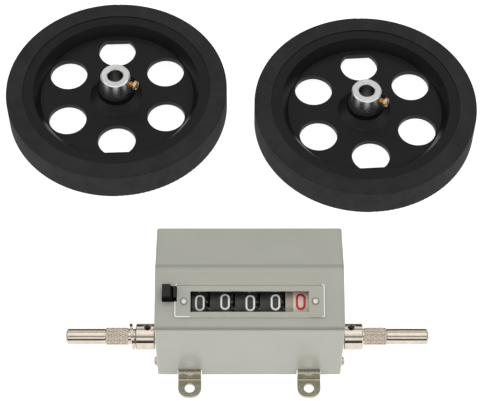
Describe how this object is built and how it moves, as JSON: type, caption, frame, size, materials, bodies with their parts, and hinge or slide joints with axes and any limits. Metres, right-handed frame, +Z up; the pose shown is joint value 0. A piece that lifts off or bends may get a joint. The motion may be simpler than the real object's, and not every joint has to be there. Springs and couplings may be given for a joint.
{
  "type": "measuring wheel",
  "caption": "Mechanical length counter with through spindle and reset key, laid out with two six-hole rubber-tyred metering wheels.",
  "frame": {"origin": "centre of the four mounting holes of the counter, on the plane its feet stand on", "axes": "+X along the spindle to the right as seen from the window side, +Y to the back, +Z up"},
  "size_m": [0.2255, 0.212, 0.0535],
  "materials": {
    "housing_paint": "semi-gloss grey-green paint",
    "bezel_paint": "semi-gloss grey-green paint",
    "nickel": "dull nickel plate",
    "zinc_steel": "zinc-plated sheet steel",
    "steel_axle": "ground steel",
    "rivet_metal": "bright aluminium",
    "lens": "clear pane",
    "bush_bronze": "sintered bronze",
    "drum_black": "black moulded number wheel",
    "drum_cream": "cream moulded number wheel",
    "gear_white": "natural acetal",
    "key_black": "black key",
    "spring_steel": "spring wire",
    "tyre_rubber": "matte black rubber",
    "wheel_plastic": "satin black moulding",
    "hub_aluminium": "turned aluminium",
    "clamp_brass": "brass screw"
  },
  "bodies": {
    "housing": {"cover": "housing_paint", "bezel_plate": "bezel_paint", "window_lens": "lens", "bezel_rivets": "rivet_metal", "mounting_strap_left": "nickel", "mounting_strap_right": "nickel", "base_plate": "zinc_steel", "chassis_plate_left": "zinc_steel", "chassis_plate_right": "zinc_steel", "base_screws": "steel_axle", "side_screws": "nickel", "spindle_bush_left": "bush_bronze", "spindle_bush_right": "bush_bronze", "pinion_axle": "steel_axle", "reset_stud": "steel_axle", "reset_spring": "spring_steel"},
    "spindle": {"spindle": "steel_axle", "collar_left": "nickel", "collar_right": "nickel", "set_screws": "steel_axle", "shaft_end_left": "nickel", "shaft_end_right": "nickel", "shaft_washer": "nickel"},
    "drum_5": {"number_drum_5": "drum_cream", "drive_gear": "gear_white"},
    "drum_axle": {"drum_axle": "steel_axle"},
    "reset_gear": {"reset_gear": "gear_white"},
    "reset_key": {"reset_key": "key_black"},
    "drum_1": {"number_drum_1": "drum_black"},
    "pinion_1": {"transfer_pinion_1": "gear_white"},
    "drum_2": {"number_drum_2": "drum_black"},
    "pinion_2": {"transfer_pinion_2": "gear_white"},
    "drum_3": {"number_drum_3": "drum_black"},
    "pinion_3": {"transfer_pinion_3": "gear_white"},
    "drum_4": {"number_drum_4": "drum_black"},
    "pinion_4": {"transfer_pinion_4": "gear_white"},
    "wheel_left": {"wheel_tyre_left": "tyre_rubber", "wheel_disc_left": "wheel_plastic", "wheel_hub_left": "hub_aluminium"},
    "clamp_left": {"clamp_screw_left": "clamp_brass"},
    "wheel_right": {"wheel_tyre_right": "tyre_rubber", "wheel_disc_right": "wheel_plastic", "wheel_hub_right": "hub_aluminium"},
    "clamp_right": {"clamp_screw_right": "clamp_brass"}
  },
  "joints": [
    {"name": "spindle_spin", "type": "hinge", "parent": "housing", "child": "spindle", "pos_m": [0, -0.0114, 0.013], "axis": [1, 0, 0], "continuous": true},
    {"name": "drum_5_spin", "type": "hinge", "parent": "housing", "child": "drum_5", "pos_m": [0, -0.00759, 0.02938], "axis": [1, 0, 0], "continuous": true},
    {"name": "drum_4_spin", "type": "hinge", "parent": "housing", "child": "drum_4", "pos_m": [0, -0.00759, 0.02938], "axis": [1, 0, 0], "continuous": true},
    {"name": "drum_3_spin", "type": "hinge", "parent": "housing", "child": "drum_3", "pos_m": [0, -0.00759, 0.02938], "axis": [1, 0, 0], "continuous": true},
    {"name": "drum_2_spin", "type": "hinge", "parent": "housing", "child": "drum_2", "pos_m": [0, -0.00759, 0.02938], "axis": [1, 0, 0], "continuous": true},
    {"name": "drum_1_spin", "type": "hinge", "parent": "housing", "child": "drum_1", "pos_m": [0, -0.00759, 0.02938], "axis": [1, 0, 0], "continuous": true},
    {"name": "pinion_4_spin", "type": "hinge", "parent": "housing", "child": "pinion_4", "pos_m": [0, 0.00767, 0.02383], "axis": [1, 0, 0], "continuous": true},
    {"name": "pinion_3_spin", "type": "hinge", "parent": "housing", "child": "pinion_3", "pos_m": [0, 0.00767, 0.02383], "axis": [1, 0, 0], "continuous": true},
    {"name": "pinion_2_spin", "type": "hinge", "parent": "housing", "child": "pinion_2", "pos_m": [0, 0.00767, 0.02383], "axis": [1, 0, 0], "continuous": true},
    {"name": "pinion_1_spin", "type": "hinge", "parent": "housing", "child": "pinion_1", "pos_m": [0, 0.00767, 0.02383], "axis": [1, 0, 0], "continuous": true},
    {"name": "reset_key_push", "type": "slide", "parent": "housing", "child": "reset_key", "axis": [0, 0.3041, -0.9526], "range_m": [0, 0.0055], "stiffness_N_per_m": 150, "springref_m": -0.004, "deforming": ["reset_spring"]},
    {"name": "reset_gear_turn", "type": "hinge", "parent": "housing", "child": "reset_gear", "pos_m": [0, 0.00372, 0.02257], "axis": [1, 0, 0], "range_deg": [0, 105.1]},
    {"name": "drum_axle_turn", "type": "hinge", "parent": "housing", "child": "drum_axle", "pos_m": [0, -0.00759, 0.02938], "axis": [1, 0, 0], "range_deg": [-357.2, 0]},
    {"name": "wheel_left_spin", "type": "hinge", "parent": "housing", "child": "wheel_left", "pos_m": [-0.0634, 0.1242, 0], "axis": [0, 0, 1], "continuous": true},
    {"name": "clamp_left_unscrew", "type": "slide", "parent": "wheel_left", "child": "clamp_left", "axis": [0.9563, -0.2924, 0], "range_m": [0, 0.003]},
    {"name": "wheel_right_spin", "type": "hinge", "parent": "housing", "child": "wheel_right", "pos_m": [0.0559, 0.1152, 0], "axis": [0, 0, 1], "continuous": true},
    {"name": "clamp_right_unscrew", "type": "slide", "parent": "wheel_right", "child": "clamp_right", "axis": [0.9063, -0.4226, 0], "range_m": [0, 0.003]}
  ],
  "couplings": [
    {"joint": "drum_5_spin", "follows": "spindle_spin", "ratio": -0.33333},
    {"joint": "drum_4_spin", "follows": "spindle_spin", "ratio": -0.033333},
    {"joint": "drum_3_spin", "follows": "spindle_spin", "ratio": -0.0033333},
    {"joint": "drum_2_spin", "follows": "spindle_spin", "ratio": -0.00033333},
    {"joint": "drum_1_spin", "follows": "spindle_spin", "ratio": -0.000033333},
    {"joint": "pinion_4_spin", "follows": "spindle_spin", "ratio": 0.083333},
    {"joint": "pinion_3_spin", "follows": "spindle_spin", "ratio": 0.0083333},
    {"joint": "pinion_2_spin", "follows": "spindle_spin", "ratio": 0.00083333},
    {"joint": "pinion_1_spin", "follows": "spindle_spin", "ratio": 0.000083333},
    {"joint": "reset_gear_turn", "follows": "reset_key_push", "rad_per_m": 333.33},
    {"joint": "drum_axle_turn", "follows": "reset_key_push", "rad_per_m": -1133.3}
  ]
}
